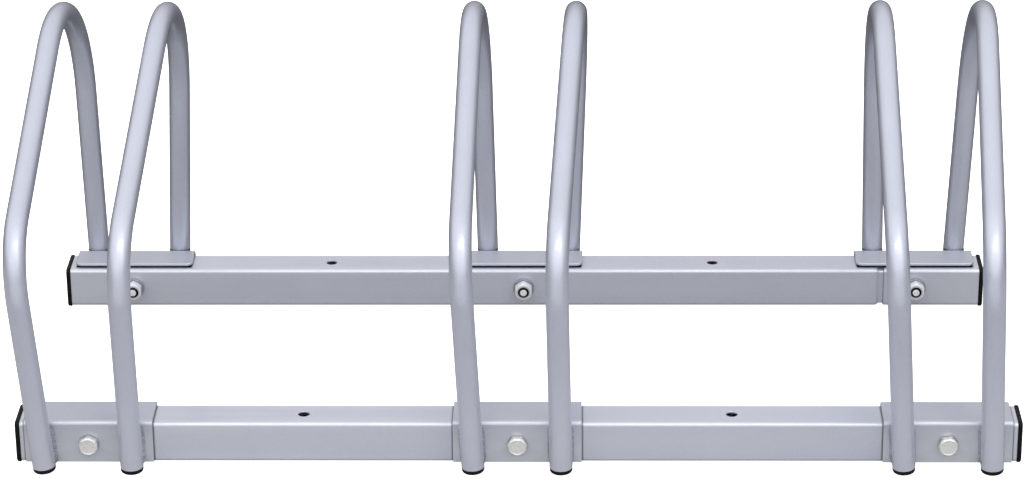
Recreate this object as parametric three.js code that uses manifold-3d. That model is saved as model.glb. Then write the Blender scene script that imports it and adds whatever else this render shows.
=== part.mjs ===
// Floor bike rack for three bicycles: two square floor bars joined by three pairs of bent tube hoops.
// Units are millimetres, +Z is up, +X runs along the bars and +Y points from the front bar to the rear bar.
// The origin is on the floor, under the middle of the rack.
import * as THREE from 'three';
import { mergeVertices } from 'three/addons/utils/BufferGeometryUtils.js';
import Module from 'manifold-3d';

const wasm = await Module();
wasm.setup();

// ---------- driving dimensions ----------

// Layout
const placeCount = 3; // bicycles side by side
const placePitch = 300; // from one wheel place to the next, along the bars
const barSpacing = 262.8; // front face of the front bar to front face of the rear bar
const barFloorGap = 2; // the foot plugs hold the bars this far off the floor

// Floor bars
const barSize = 30;
const barWall = 1.2;
const barCornerRadius = 2.8;
const barEndMargin = 3.5; // bar beyond the last bracket
const jointSetback = 24.4; // end of the short bar, measured back from the last bolt
const jointReveal = 6; // swaged neck that stays visible between the two lengths
const swageLength = 3.3; // cone between the full section and the spigot
const mouthInset = 0.8; // the short bar's mouth is dressed in by this much
const mouthLength = 1.8; // and over this length
const spigotReach = 20; // spigot beyond the last bolt
const screwHoleDiameter = 8;
const screwStrays = { front: [0, 0], rear: [2, -5] }; // floor-screw holes, off the middle between two places

// Bar end plugs
const plugFlangeThickness = 4;
const plugFlangeOverhang = 0.9;
const plugChamfer = 1;
const plugStemLength = 12;
const plugStemWall = 2;

// Brackets
const sheetThickness = 2;
const sheetBendRadius = 1.2; // inside of a bend
const bracketMargin = 6.35; // bracket beyond the outer sides of the hoop legs
const flangeBottomGap = 1; // flanges end this far above the bar's underside
const plateSetback = 5; // front edge of a rear plate, behind the bar's front face
const plateLift = 1.3; // shadow gap between a rear plate and the top of the bar
const plateCornerRadius = 5;

// Hoops
const tubeDiameter = 16;
const tubeWall = 1.2;
const footSpacing = 61.3; // between the two hoops of a pair, on centre-lines
const kneeSpacing = 67.7;
const crownSpacing = 79.4;
const kneeSet = -6.5; // both knees of a pair lean this far along X
const crownSet = 4; // and both crowns this far back
const kneeStrays = [[-4, 0.5], [2, 0.5], [0, -2]]; // hand-bent hoops stray along X: left and right, by place
const crownStrays = [[-1, 0], [2, 1.5], [0, 0]];
const heelStrays = [[0, 0], [3, 3.5], [1, 0.5]];
const kneeHeight = 163; // corner of the front leg and the rise
const riseAngle = THREE.MathUtils.degToRad(24.3);
const kneeRadius = 57; // bend radii, on the centre-line
const crownRadius = 91;

// Foot plugs
const footPlugHeight = 3;
const footPlugRounding = 2;
const footStemLength = 12;

// Weld seams beside the legs
const seamInset = 2; // inner edge, off the leg's centre-line
const seamReach = 2.6; // outer edge, beyond the side of the tube
const seamToe = 0.5; // thickness at the outer edge
const seamHeight = 4.2; // thickness against the tube
const seamEndMargin = 1.5; // a seam ends short of its flange's edges
const seamRoot = 0.6; // a seam is fused this deep into its flange

// Fasteners
const boltDiameter = 8;
const boltHoleDiameter = 9;
const hexAcrossFlats = 13;
const hexChamfer = 0.8;
const boltHeadHeight = 5.3;
const boltProtrusion = 1; // bolt end beyond its nut
const nutHeight = 6.5;
const nutTurn = THREE.MathUtils.degToRad(30); // nuts stop with a corner up
const headTurns = [30, 0, 8].map(THREE.MathUtils.degToRad); // each bolt's head, from flat side up
const washerDiameter = 16;
const washerThickness = 1.6;

// Clearance between pieces that touch, plug together or are welded
const fit = 0.3;

// Facets
const tubeSides = 16;
const boreSides = 12;
const cornerSteps = 3; // per corner of a square tube
const bendStep = THREE.MathUtils.degToRad(10.5);
const chamferSides = 12;

// ---------- derived places ----------

const barHalf = barSize / 2;
const barTop = barFloorGap + barSize;
const barMiddle = barFloorGap + barHalf;
const tubeRadius = tubeDiameter / 2;
const boreRadius = tubeRadius - tubeWall;
const bracketFace = fit + sheetThickness; // outer face of a flange, off the bar's face
const legOffset = bracketFace + fit + tubeRadius; // leg centre-line, off the bar's face
const overallDepth = barSpacing + barSize + 2 * (legOffset + tubeRadius);
const frontBarY = legOffset + tubeRadius + barHalf - overallDepth / 2;
const rearBarY = frontBarY + barSpacing;
const frontLegY = frontBarY - barHalf - legOffset;
const rearLegY = rearBarY + barHalf + legOffset;
const crownHeight = kneeHeight + (rearLegY - frontLegY) * Math.tan(riseAngle);
const bracketLength = footSpacing + tubeDiameter + 2 * bracketMargin;
const flangeBottom = barFloorGap + flangeBottomGap;
const outerBendRadius = sheetBendRadius + sheetThickness;
const saddleTop = barTop + fit + sheetThickness;
const plateTop = barTop + plateLift + sheetThickness;
const lastPlaceX = (placeCount - 1) * placePitch / 2;
const barEnd = lastPlaceX + bracketLength / 2 + barEndMargin;
const shortBarStart = lastPlaceX - jointSetback;
const longBarShoulder = shortBarStart - jointReveal;
const spigotEnd = lastPlaceX + spigotReach;
const boreHalf = barHalf - barWall;
const boreCornerRadius = barCornerRadius - barWall;
const spigotHalf = boreHalf - fit;
const cutLength = 4 * barSize; // longer than anything it cuts through
const upward = new THREE.Vector3(0, 0, 1);
const places = Array.from({ length: placeCount }, (_, i) => i * placePitch - lastPlaceX);

// ---------- finishes ----------

const silverCoat = { color: 0xb4b8c4, roughness: 0.42, metalness: 0.55 };
const zincPlate = { color: 0xd2d2cc, roughness: 0.3, metalness: 0.9 };
const blackPlastic = { color: 0x141416, roughness: 0.5, metalness: 0 };

// ---------- helpers ----------

function namedMesh(name, geometry, finish) {
  geometry.computeVertexNormals();
  const mesh = new THREE.Mesh(geometry, new THREE.MeshStandardMaterial(finish));
  mesh.name = name;
  return mesh;
}

function toSolid(geometry) {
  const bare = geometry.clone();
  bare.deleteAttribute('normal');
  bare.deleteAttribute('uv');
  const merged = mergeVertices(bare, 1e-5);
  return new wasm.Manifold(new wasm.Mesh({
    numProp: 3,
    vertProperties: new Float32Array(merged.attributes.position.array),
    triVerts: new Uint32Array(merged.index.array),
  }));
}

function toGeometry(solid) {
  const mesh = solid.getMesh();
  const geometry = new THREE.BufferGeometry();
  geometry.setAttribute('position', new THREE.BufferAttribute(new Float32Array(mesh.vertProperties), 3));
  geometry.setIndex(new THREE.BufferAttribute(new Uint32Array(mesh.triVerts), 1));
  return geometry;
}

// The skin over a chain of rings. A looped chain ends at its first ring, and any other has flat ends.
function ringSkin(rings, looped) {
  const count = rings[0].length;
  const faces = [];
  const spans = looped ? rings.length : rings.length - 1;
  for (let k = 0; k < spans; k++) {
    const here = k * count;
    const there = ((k + 1) % rings.length) * count;
    for (let i = 0; i < count; i++) {
      const next = (i + 1) % count;
      faces.push(here + i, here + next, there + next);
      faces.push(here + i, there + next, there + i);
    }
  }
  if (!looped) {
    const last = (rings.length - 1) * count;
    for (let i = 1; i < count - 1; i++) {
      faces.push(0, i + 1, i);
      faces.push(last, last + i, last + i + 1);
    }
  }
  const geometry = new THREE.BufferGeometry().setFromPoints(rings.flat());
  geometry.setIndex(faces);
  return geometry;
}

// A rounded square in the YZ plane at x, counter-clockwise seen from +X.
function squareRing(x, half, radius) {
  const ring = [];
  for (let corner = 0; corner < 4; corner++) {
    const start = corner * Math.PI / 2;
    const middle = start + Math.PI / 4;
    const centreY = Math.SQRT2 * (half - radius) * Math.cos(middle);
    const centreZ = Math.SQRT2 * (half - radius) * Math.sin(middle);
    for (let step = 0; step <= cornerSteps; step++) {
      const angle = start + step / cornerSteps * Math.PI / 2;
      ring.push(new THREE.Vector3(x, centreY + radius * Math.cos(angle), centreZ + radius * Math.sin(angle)));
    }
  }
  return ring;
}

function circlePoints(radius, sides) {
  const points = [];
  for (let i = 0; i < sides; i++) {
    const angle = 2 * Math.PI * i / sides;
    points.push(new THREE.Vector2(radius * Math.cos(angle), radius * Math.sin(angle)));
  }
  return points;
}

// An outline in the YZ plane, extruded along X to both sides of x = 0.
function extrudeAlongX(outline, length) {
  const options = { depth: length, bevelEnabled: false, curveSegments: cornerSteps };
  const geometry = new THREE.ExtrudeGeometry(outline, options).translate(0, 0, -length / 2);
  const alongX = new THREE.Matrix4().makeBasis(
    new THREE.Vector3(0, 1, 0), new THREE.Vector3(0, 0, 1), new THREE.Vector3(1, 0, 0));
  return geometry.applyMatrix4(alongX);
}

function rodAlongY(radius, length, sides) {
  return new THREE.CylinderGeometry(radius, radius, length, sides);
}

function rodAlongZ(radius, length, sides) {
  return rodAlongY(radius, length, sides).rotateX(Math.PI / 2);
}

// ---------- floor bars ----------

// Bolt holes run front to back at the wheel places, and floor-screw holes run down between them.
function drilledBar(geometry, from, to, strays) {
  const boltHole = rodAlongY(boltHoleDiameter / 2, cutLength, tubeSides);
  const screwHole = rodAlongZ(screwHoleDiameter / 2, cutLength, tubeSides);
  let solid = toSolid(geometry);
  for (const x of places) {
    if (x > from && x < to) {
      solid = solid.subtract(toSolid(boltHole.clone().translate(x, 0, 0)));
    }
  }
  places.slice(1).forEach((place, index) => {
    const x = place - placePitch / 2 + strays[index % strays.length];
    if (x > from && x < to) {
      solid = solid.subtract(toSolid(screwHole.clone().translate(x, 0, 0)));
    }
  });
  return toGeometry(solid);
}

function longBar(strays) {
  const rings = [
    squareRing(-barEnd, barHalf, barCornerRadius),
    squareRing(longBarShoulder, barHalf, barCornerRadius),
    squareRing(longBarShoulder + swageLength, spigotHalf, boreCornerRadius),
    squareRing(spigotEnd, spigotHalf, boreCornerRadius),
    squareRing(spigotEnd, spigotHalf - barWall, boreCornerRadius / 2),
    squareRing(longBarShoulder + swageLength, spigotHalf - barWall, boreCornerRadius / 2),
    squareRing(longBarShoulder, boreHalf, boreCornerRadius),
    squareRing(-barEnd, boreHalf, boreCornerRadius),
  ];
  return drilledBar(ringSkin(rings, true), -barEnd, spigotEnd, strays);
}

function shortBar(strays) {
  const rings = [
    squareRing(shortBarStart, barHalf - mouthInset, barCornerRadius - mouthInset),
    squareRing(shortBarStart + mouthLength, barHalf, barCornerRadius),
    squareRing(barEnd, barHalf, barCornerRadius),
    squareRing(barEnd, boreHalf, boreCornerRadius),
    squareRing(shortBarStart, boreHalf, boreCornerRadius),
  ];
  return drilledBar(ringSkin(rings, true), shortBarStart, barEnd, strays);
}

// The tube's end is at x = 0: the flange covers it from -X and the hollow stem reaches in along +X.
function barPlug() {
  const flangeHalf = barHalf + plugFlangeOverhang;
  const flangeRadius = barCornerRadius + plugFlangeOverhang;
  const stemBore = spigotHalf - plugStemWall;
  const rings = [
    squareRing(-plugFlangeThickness, flangeHalf - plugChamfer, flangeRadius - plugChamfer),
    squareRing(plugChamfer - plugFlangeThickness, flangeHalf, flangeRadius),
    squareRing(-fit, flangeHalf, flangeRadius),
    squareRing(-fit, spigotHalf, boreCornerRadius),
    squareRing(plugStemLength, spigotHalf, boreCornerRadius),
    squareRing(plugStemLength, stemBore, boreCornerRadius / 2),
    squareRing(0, stemBore, boreCornerRadius / 2),
  ];
  return ringSkin(rings, false);
}

function barAssembly(name, y) {
  const leftPlug = namedMesh(`${name}_bar_plug_left`, barPlug(), blackPlastic);
  leftPlug.position.x = -barEnd;
  const rightPlug = namedMesh(`${name}_bar_plug_right`, barPlug(), blackPlastic);
  rightPlug.position.x = barEnd;
  rightPlug.rotation.z = Math.PI;
  const group = new THREE.Group();
  group.add(namedMesh(`${name}_bar_long`, longBar(screwStrays[name]), silverCoat));
  group.add(namedMesh(`${name}_bar_short`, shortBar(screwStrays[name]), silverCoat));
  group.add(leftPlug, rightPlug);
  group.position.set(0, y, barMiddle);
  return group;
}

// ---------- hoops ----------

// Corners of a hoop's centre-line from its front foot to its rear foot. number is that of the wheel place,
// and side is -1 for the left hoop of a pair and 1 for the right one.
function hoopCorners(number, side) {
  const [kneeStray, crownStray, heelStray] = [kneeStrays, crownStrays, heelStrays].map(
    (strays) => strays[(number - 1) % strays.length][side < 0 ? 0 : 1]);
  return [
    new THREE.Vector3(side * footSpacing / 2, frontLegY, 0),
    new THREE.Vector3(side * kneeSpacing / 2 + kneeSet + kneeStray, frontLegY, kneeHeight),
    new THREE.Vector3(side * crownSpacing / 2 + crownSet + crownStray, rearLegY, crownHeight),
    new THREE.Vector3(side * footSpacing / 2 + heelStray, rearLegY, 0),
  ];
}

function direction(from, to) {
  return to.clone().sub(from).normalize();
}

// A foot plug leans with its leg, and stands on the floor by its lowest edge. This is how far that lifts it.
function footLift(axis) {
  const lean = axis.angleTo(upward);
  const edge = (tubeRadius - footPlugRounding) * Math.sin(lean) + footPlugRounding * (1 - Math.cos(lean));
  return edge / Math.cos(lean);
}

// The centre-line of a bent tube. Its stations are the ends of the straight runs and the steps of the bends,
// one for each step of the extrusion.
class BentTubePath extends THREE.Curve {
  constructor(corners, radii) {
    super();
    this.points = [];
    this.tangents = [];
    const [start, first, second, end] = corners;
    const leaving = direction(start, first);
    const arriving = direction(second, end);
    const startTrim = footLift(leaving) + footPlugHeight + fit;
    const endTrim = footLift(arriving.clone().negate()) + footPlugHeight + fit;
    this.addStation(start.clone().addScaledVector(leaving, startTrim), leaving);
    this.addBend(start, first, second, radii[0]);
    this.addBend(first, second, end, radii[1]);
    this.addStation(end.clone().addScaledVector(arriving, -endTrim), arriving);
  }

  addStation(point, tangent) {
    this.points.push(point);
    this.tangents.push(tangent);
  }

  addBend(before, corner, after, radius) {
    const arriving = direction(before, corner);
    const leaving = direction(corner, after);
    const turn = arriving.angleTo(leaving);
    const inward = leaving.clone().addScaledVector(arriving, -Math.cos(turn)).normalize();
    const start = corner.clone().addScaledVector(arriving, -radius * Math.tan(turn / 2));
    const centre = start.clone().addScaledVector(inward, radius);
    const steps = Math.ceil(turn / bendStep);
    for (let i = 0; i <= steps; i++) {
      const angle = turn * i / steps;
      const point = centre.clone().addScaledVector(inward, -radius * Math.cos(angle));
      point.addScaledVector(arriving, radius * Math.sin(angle));
      const tangent = arriving.clone().multiplyScalar(Math.cos(angle));
      this.addStation(point, tangent.addScaledVector(inward, Math.sin(angle)));
    }
  }

  get spans() {
    return this.points.length - 1;
  }

  getUtoTmapping(u) {
    return u;
  }

  getPoint(t, target = new THREE.Vector3()) {
    return target.copy(this.points[Math.round(t * this.spans)]);
  }

  getTangent(t, target = new THREE.Vector3()) {
    return target.copy(this.tangents[Math.round(t * this.spans)]);
  }
}

function hoop(corners) {
  const path = new BentTubePath(corners, [kneeRadius, crownRadius]);
  const section = new THREE.Shape(circlePoints(tubeRadius, tubeSides));
  section.holes.push(new THREE.Path(circlePoints(boreRadius, boreSides)));
  return new THREE.ExtrudeGeometry(section, { steps: path.spans, bevelEnabled: false, extrudePath: path });
}

// A round-edged plug that stands on z = 0, with its stem up inside the tube.
function footPlug() {
  const stemRadius = boreRadius - fit;
  const stemTop = footPlugHeight + footStemLength;
  const profile = [new THREE.Vector2(0, 0)];
  for (let i = 0; i <= cornerSteps; i++) {
    const angle = i / cornerSteps * Math.PI / 2;
    const inset = footPlugRounding * (1 - Math.sin(angle));
    profile.push(new THREE.Vector2(tubeRadius - inset, footPlugRounding * (1 - Math.cos(angle))));
  }
  profile.push(new THREE.Vector2(tubeRadius, footPlugHeight));
  profile.push(new THREE.Vector2(stemRadius, footPlugHeight));
  profile.push(new THREE.Vector2(stemRadius, stemTop));
  profile.push(new THREE.Vector2(0, stemTop));
  return new THREE.LatheGeometry(profile, boreSides).rotateX(Math.PI / 2);
}

function placedFoot(name, foot, corner) {
  const axis = direction(foot, corner);
  const mesh = namedMesh(name, footPlug(), blackPlastic);
  mesh.position.copy(foot).addScaledVector(axis, footLift(axis));
  mesh.quaternion.setFromUnitVectors(upward, axis);
  return mesh;
}

// ---------- brackets ----------

// A saddle folded over the front bar, seen from its end, with y measured from the middle of the bar.
function saddleOutline() {
  const inner = barHalf + fit;
  const outer = inner + sheetThickness;
  const innerTop = barTop + fit;
  const innerBendZ = innerTop - sheetBendRadius;
  const outline = new THREE.Shape();
  outline.moveTo(-outer, flangeBottom);
  outline.lineTo(-inner, flangeBottom);
  outline.absarc(sheetBendRadius - inner, innerBendZ, sheetBendRadius, Math.PI, Math.PI / 2, true);
  outline.absarc(inner - sheetBendRadius, innerBendZ, sheetBendRadius, Math.PI / 2, 0, true);
  outline.lineTo(inner, flangeBottom);
  outline.lineTo(outer, flangeBottom);
  outline.absarc(outer - outerBendRadius, innerBendZ, outerBendRadius, 0, Math.PI / 2, false);
  outline.absarc(outerBendRadius - outer, innerBendZ, outerBendRadius, Math.PI / 2, Math.PI, false);
  return outline;
}

// A rear angle plate: it lies over the rear bar and its flange hangs down behind the bar.
function plateOutline() {
  const inner = barHalf + fit;
  const outer = inner + sheetThickness;
  const bendZ = plateTop - outerBendRadius;
  const frontEdge = plateSetback - barHalf;
  const outline = new THREE.Shape();
  outline.moveTo(frontEdge, plateTop - sheetThickness);
  outline.absarc(inner - sheetBendRadius, bendZ, sheetBendRadius, Math.PI / 2, 0, true);
  outline.lineTo(inner, flangeBottom);
  outline.lineTo(outer, flangeBottom);
  outline.absarc(outer - outerBendRadius, bendZ, outerBendRadius, 0, Math.PI / 2, false);
  outline.lineTo(frontEdge, plateTop);
  return outline;
}

// The plate seen from above, with its two front corners rounded off.
function platePlan() {
  const half = bracketLength / 2;
  const front = plateSetback - barHalf;
  const back = barSize;
  const radius = plateCornerRadius;
  const plan = new THREE.Shape();
  plan.moveTo(half, back);
  plan.lineTo(-half, back);
  plan.absarc(radius - half, front + radius, radius, Math.PI, 1.5 * Math.PI, false);
  plan.absarc(half - radius, front + radius, radius, 1.5 * Math.PI, 2 * Math.PI, false);
  const options = { depth: cutLength, bevelEnabled: false, curveSegments: 2 * cornerSteps };
  return new THREE.ExtrudeGeometry(plan, options);
}

// Joins the two weld seams of one leg to a bracket. outward is the side of the flange that the leg is on:
// -1 for a front leg and 1 for a rear leg.
function weldLeg(bracket, foot, corner, outward, flangeTop) {
  const faceY = -outward * (fit + tubeRadius); // the flange's face, off the leg's centre-line
  const seamStart = flangeBottom + seamEndMargin;
  const seamLength = flangeTop - seamEndMargin - seamStart;
  const lean = new THREE.Quaternion().setFromUnitVectors(upward, direction(foot, corner));
  let solid = bracket;
  for (const side of [-1, 1]) {
    const outline = new THREE.Shape([
      new THREE.Vector2(side * seamInset, faceY - outward * seamRoot),
      new THREE.Vector2(side * (tubeRadius + seamReach), faceY - outward * seamRoot),
      new THREE.Vector2(side * (tubeRadius + seamReach), faceY + outward * seamToe),
      new THREE.Vector2(side * tubeRadius, faceY + outward * seamHeight),
      new THREE.Vector2(side * seamInset, faceY + outward * seamHeight),
    ]);
    const seam = new THREE.ExtrudeGeometry(outline, { depth: seamLength, bevelEnabled: false });
    seam.translate(0, 0, seamStart).applyQuaternion(lean).translate(foot.x, foot.y, foot.z);
    solid = solid.add(toSolid(seam));
  }
  const tube = rodAlongZ(tubeRadius + fit, cutLength, 2 * tubeSides);
  tube.applyQuaternion(lean).translate(foot.x, foot.y, foot.z);
  return solid.subtract(toSolid(tube));
}

function boltHoleAt(y) {
  return toSolid(rodAlongY(boltHoleDiameter / 2, cutLength, tubeSides).translate(0, y, barMiddle));
}

function frontSaddle(number) {
  let solid = toSolid(extrudeAlongX(saddleOutline(), bracketLength).translate(0, frontBarY, 0));
  for (const side of [-1, 1]) {
    const [foot, knee] = hoopCorners(number, side);
    solid = weldLeg(solid, foot, knee, -1, saddleTop - outerBendRadius);
  }
  return toGeometry(solid.subtract(boltHoleAt(frontBarY)));
}

function rearPlate(number) {
  let solid = toSolid(extrudeAlongX(plateOutline(), bracketLength));
  solid = solid.intersect(toSolid(platePlan())).translate([0, rearBarY, 0]);
  for (const side of [-1, 1]) {
    const [, , crown, heel] = hoopCorners(number, side);
    solid = weldLeg(solid, heel, crown, 1, plateTop - outerBendRadius);
  }
  return toGeometry(solid.subtract(boltHoleAt(rearBarY)));
}

// ---------- fasteners ----------

// A hexagonal prism from y = 0 to y = height, flat side up, with its corners chamfered at the given ends.
function hexPrism(height, chamferStart, chamferEnd) {
  const cornerRadius = hexAcrossFlats / Math.sqrt(3);
  const faceRadius = hexAcrossFlats / 2;
  const rod = new THREE.CylinderGeometry(cornerRadius, cornerRadius, height, 6).rotateY(Math.PI / 6);
  const startRadius = chamferStart ? faceRadius : cornerRadius + hexChamfer;
  const endRadius = chamferEnd ? faceRadius : cornerRadius + hexChamfer;
  const profile = [
    new THREE.Vector2(0, 0),
    new THREE.Vector2(startRadius, 0),
    new THREE.Vector2(cornerRadius + hexChamfer, hexChamfer),
    new THREE.Vector2(cornerRadius + hexChamfer, height - hexChamfer),
    new THREE.Vector2(endRadius, height),
    new THREE.Vector2(0, height),
  ];
  const turned = new THREE.LatheGeometry(profile, chamferSides);
  return toSolid(rod.translate(0, height / 2, 0)).intersect(toSolid(turned));
}

// The seat of the head is at y = 0, and the bolt points along +Y.
function bolt(grip) {
  const head = hexPrism(boltHeadHeight, true, false).translate([0, -fit - boltHeadHeight, 0]);
  const shankStart = -fit - boltHeadHeight / 2;
  const shankEnd = grip + 2 * fit + washerThickness + nutHeight + boltProtrusion;
  const length = shankEnd - shankStart;
  const shank = rodAlongY(boltDiameter / 2, length, boreSides).translate(0, shankStart + length / 2, 0);
  return toGeometry(head.add(toSolid(shank)));
}

function washer() {
  const hole = toSolid(rodAlongY(boltHoleDiameter / 2, cutLength, tubeSides));
  return toGeometry(toSolid(rodAlongY(washerDiameter / 2, washerThickness, tubeSides)).subtract(hole));
}

function nut() {
  const bore = toSolid(rodAlongY(boltDiameter / 2 + fit, cutLength, tubeSides));
  return toGeometry(hexPrism(nutHeight, true, true).subtract(bore));
}

function fastenerSet(name, number, grip) {
  const washerMesh = namedMesh(`${name}_washer_${number}`, washer(), zincPlate);
  washerMesh.position.y = grip + fit + washerThickness / 2;
  const nutMesh = namedMesh(`${name}_nut_${number}`, nut(), zincPlate);
  nutMesh.position.y = grip + 2 * fit + washerThickness;
  nutMesh.rotation.y = nutTurn;
  const boltMesh = namedMesh(`${name}_bolt_${number}`, bolt(grip), zincPlate);
  boltMesh.rotation.y = headTurns[(number - 1) % headTurns.length];
  const group = new THREE.Group();
  group.add(boltMesh, washerMesh, nutMesh);
  return group;
}

// ---------- wheel places ----------

// One wheel place: a pair of hoops on a front saddle and a rear plate, bolted to the bars.
function wheelPlace(number) {
  const group = new THREE.Group();
  group.add(namedMesh(`front_saddle_${number}`, frontSaddle(number), silverCoat));
  group.add(namedMesh(`rear_plate_${number}`, rearPlate(number), silverCoat));
  for (const [letter, side] of [['a', -1], ['b', 1]]) {
    const corners = hoopCorners(number, side);
    const [foot, knee, crown, heel] = corners;
    group.add(namedMesh(`hoop_${number}${letter}`, hoop(corners), silverCoat));
    group.add(placedFoot(`front_foot_${number}${letter}`, foot, knee));
    group.add(placedFoot(`rear_foot_${number}${letter}`, heel, crown));
  }
  const frontSet = fastenerSet('front', number, barSize + 2 * bracketFace);
  frontSet.position.set(0, frontBarY - barHalf - bracketFace, barMiddle);
  const rearSet = fastenerSet('rear', number, barSize + bracketFace);
  rearSet.position.set(0, rearBarY + barHalf + bracketFace, barMiddle);
  rearSet.rotation.z = Math.PI;
  group.add(frontSet, rearSet);
  return group;
}

// ---------- the rack ----------

const rack = new THREE.Group();
rack.add(barAssembly('front', frontBarY), barAssembly('rear', rearBarY));
places.forEach((x, index) => {
  const place = wheelPlace(index + 1);
  place.position.x = x;
  rack.add(place);
});

export default rack;
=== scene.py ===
"""The looks of a floor bike rack for three bicycles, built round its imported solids.

Lengths are in metres. +X runs along the bars to the right, +Y points from the front bar to the
rear bar, and +Z is up.
"""
import math
import random

import bmesh
import bpy
from mathutils import Matrix, Vector, noise


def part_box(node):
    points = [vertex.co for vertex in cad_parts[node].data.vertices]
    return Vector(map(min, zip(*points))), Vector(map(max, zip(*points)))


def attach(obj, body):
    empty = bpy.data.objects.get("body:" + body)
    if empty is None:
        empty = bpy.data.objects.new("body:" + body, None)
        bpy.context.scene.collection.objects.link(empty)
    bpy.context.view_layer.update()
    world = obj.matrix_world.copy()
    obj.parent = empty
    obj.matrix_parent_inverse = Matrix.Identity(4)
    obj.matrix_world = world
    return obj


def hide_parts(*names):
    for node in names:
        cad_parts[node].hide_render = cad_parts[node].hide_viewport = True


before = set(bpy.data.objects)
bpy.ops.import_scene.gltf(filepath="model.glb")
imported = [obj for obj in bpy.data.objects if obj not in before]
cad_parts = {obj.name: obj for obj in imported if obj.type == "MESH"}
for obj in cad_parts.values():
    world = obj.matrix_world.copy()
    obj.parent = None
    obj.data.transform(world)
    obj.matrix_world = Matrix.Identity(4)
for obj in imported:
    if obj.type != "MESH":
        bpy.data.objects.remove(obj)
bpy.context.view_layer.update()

MM = 0.001


def middle(node):
    low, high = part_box(node)
    return (low + high) / 2


# ---------- sizes ----------

# Bars
BAR_WALL = 1.2 * MM
BAR_CORNER_RADIUS = 2.8 * MM
NECK_REVEAL = 6 * MM  # swaged neck that shows between the two lengths of a bar
SWAGE_LENGTH = 3.3 * MM
SWAGE_STEPS = 6
MOUTH_INSET = 0.8 * MM  # the short bar's mouth is dressed in
MOUTH_LENGTH = 1.8 * MM
BOLT_HOLE_RADIUS = 4.5 * MM
SCREW_HOLE_RADIUS = 4 * MM
SCREW_HOLE_LIP = 0.4 * MM
SCREW_LIP_PROFILE = ((0.3, -0.3), (1.2, 0.2))  # lips outwards and above the bar
SCREW_STRAYS = {  # off the middle between two wheel places
    "front": (0, 0),
    "rear": (2 * MM, -5 * MM),
}

# Bar end plugs
PLUG_OVERHANG = 0.9 * MM
PLUG_FLANGE = 4 * MM
PLUG_ROUNDING = 1.5 * MM
PLUG_CROWN = 0.6 * MM  # the flange's face bulges by this much
PLUG_STEM_LENGTH = 12 * MM
PLUG_STEM_WALL = 2 * MM
PLUG_BACK_EDGE = 0.3 * MM  # chamfer of the flange's back
PLUG_CROWN_SHARES = (0.05, 0.35, 0.7, 0.9)  # of the way out from the middle of the face

# Brackets
SHEET = 2 * MM
SHEET_BEND_RADIUS = 1.2 * MM
SHEET_EDGE_ROUNDING = 0.35 * MM
PLATE_EDGE_ROUNDING = 1.1 * MM  # of the plate's front edge, at the top
PLATE_SETBACK = 5 * MM
PLATE_CORNER_RADIUS = 5 * MM

# Hoops
TUBE_RADIUS = 8 * MM
TUBE_WALL = 1.2 * MM
TUBE_LIP = 0.35 * MM
FOOT_SPACING = 61.3 * MM
KNEE_SPACING = 67.7 * MM
CROWN_SPACING = 79.4 * MM
KNEE_SET = -6.5 * MM
CROWN_SET = 4 * MM
KNEE_STRAYS = ((-4, 0.5), (2, 0.5), (0, -2))  # mm along X, left and right hoop of each place
CROWN_STRAYS = ((-1, 0), (2, 1.5), (0, 0))
HEEL_STRAYS = ((0, 0), (3, 3.5), (1, 0.5))
KNEE_HEIGHT = 163 * MM
RISE_ANGLE = math.radians(24.3)
KNEE_RADIUS = 57 * MM
CROWN_RADIUS = 91 * MM
FACET_RISE = 0.3 * MM  # a smooth crown is this much lower, to stay inside the faceted one

# Foot plugs
FOOT_HEIGHT = 3 * MM
FOOT_ROUNDING = 2 * MM
FOOT_STEM_LENGTH = 12 * MM
FOOT_SOLE_SHARES = (0.3, 0.9)  # of the flat sole's radius

# Weld beads
BEAD_REACH = 1.3 * MM  # beyond the side of the tube, on the flange
BEAD_HEIGHT = 4.4 * MM  # up the side of the tube, off the flange
BEAD_BULGE = 0.5 * MM
BEAD_RIPPLE_PITCH = 2.1 * MM
BEAD_MARGIN = 0.6 * MM  # short of the flange's edges
BEAD_SINK = 0.25 * MM  # buried in the tube and in the flange
BEAD_END_SHARE = 0.35  # of its full section, at a bead's ends
BEAD_END_GROWTH = 6  # added per length of the bead from there
BEAD_SWELL_SHARES = (0.25, 0.9, 0.5)  # even, rippled and wandering
BEAD_REACH_SHARES = (0.78, 0.2, 0.25)
BEAD_STEPS = 64
BEAD_WANDER_SCALE = 400  # noise cells per metre
BEAD_SEED_STEP = 7.3
REAR_BEAD_SEED = 100
CREST_BEAD_RADIUS = 0.9 * MM
CREST_BEAD_DROP = 1.7 * MM  # below the plate's top
CREST_BEAD_START = 1.12  # half turns from +X
CREST_BEAD_SWEEP = 0.76
CREST_BEAD_END_SHARE = 0.4
CREST_BEAD_END_GROWTH = 8
CREST_BEAD_STANDOFF = 0.4  # of its radius, from the tube to its middle
CREST_BEAD_WANDER = 0.3
CREST_BEAD_WANDER_SCALE = 9  # noise cells along it
CREST_BEAD_STEPS = 40
CREST_BEAD_SIDES = 14
CREST_BEAD_SEED_STEP = 3.1

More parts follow.
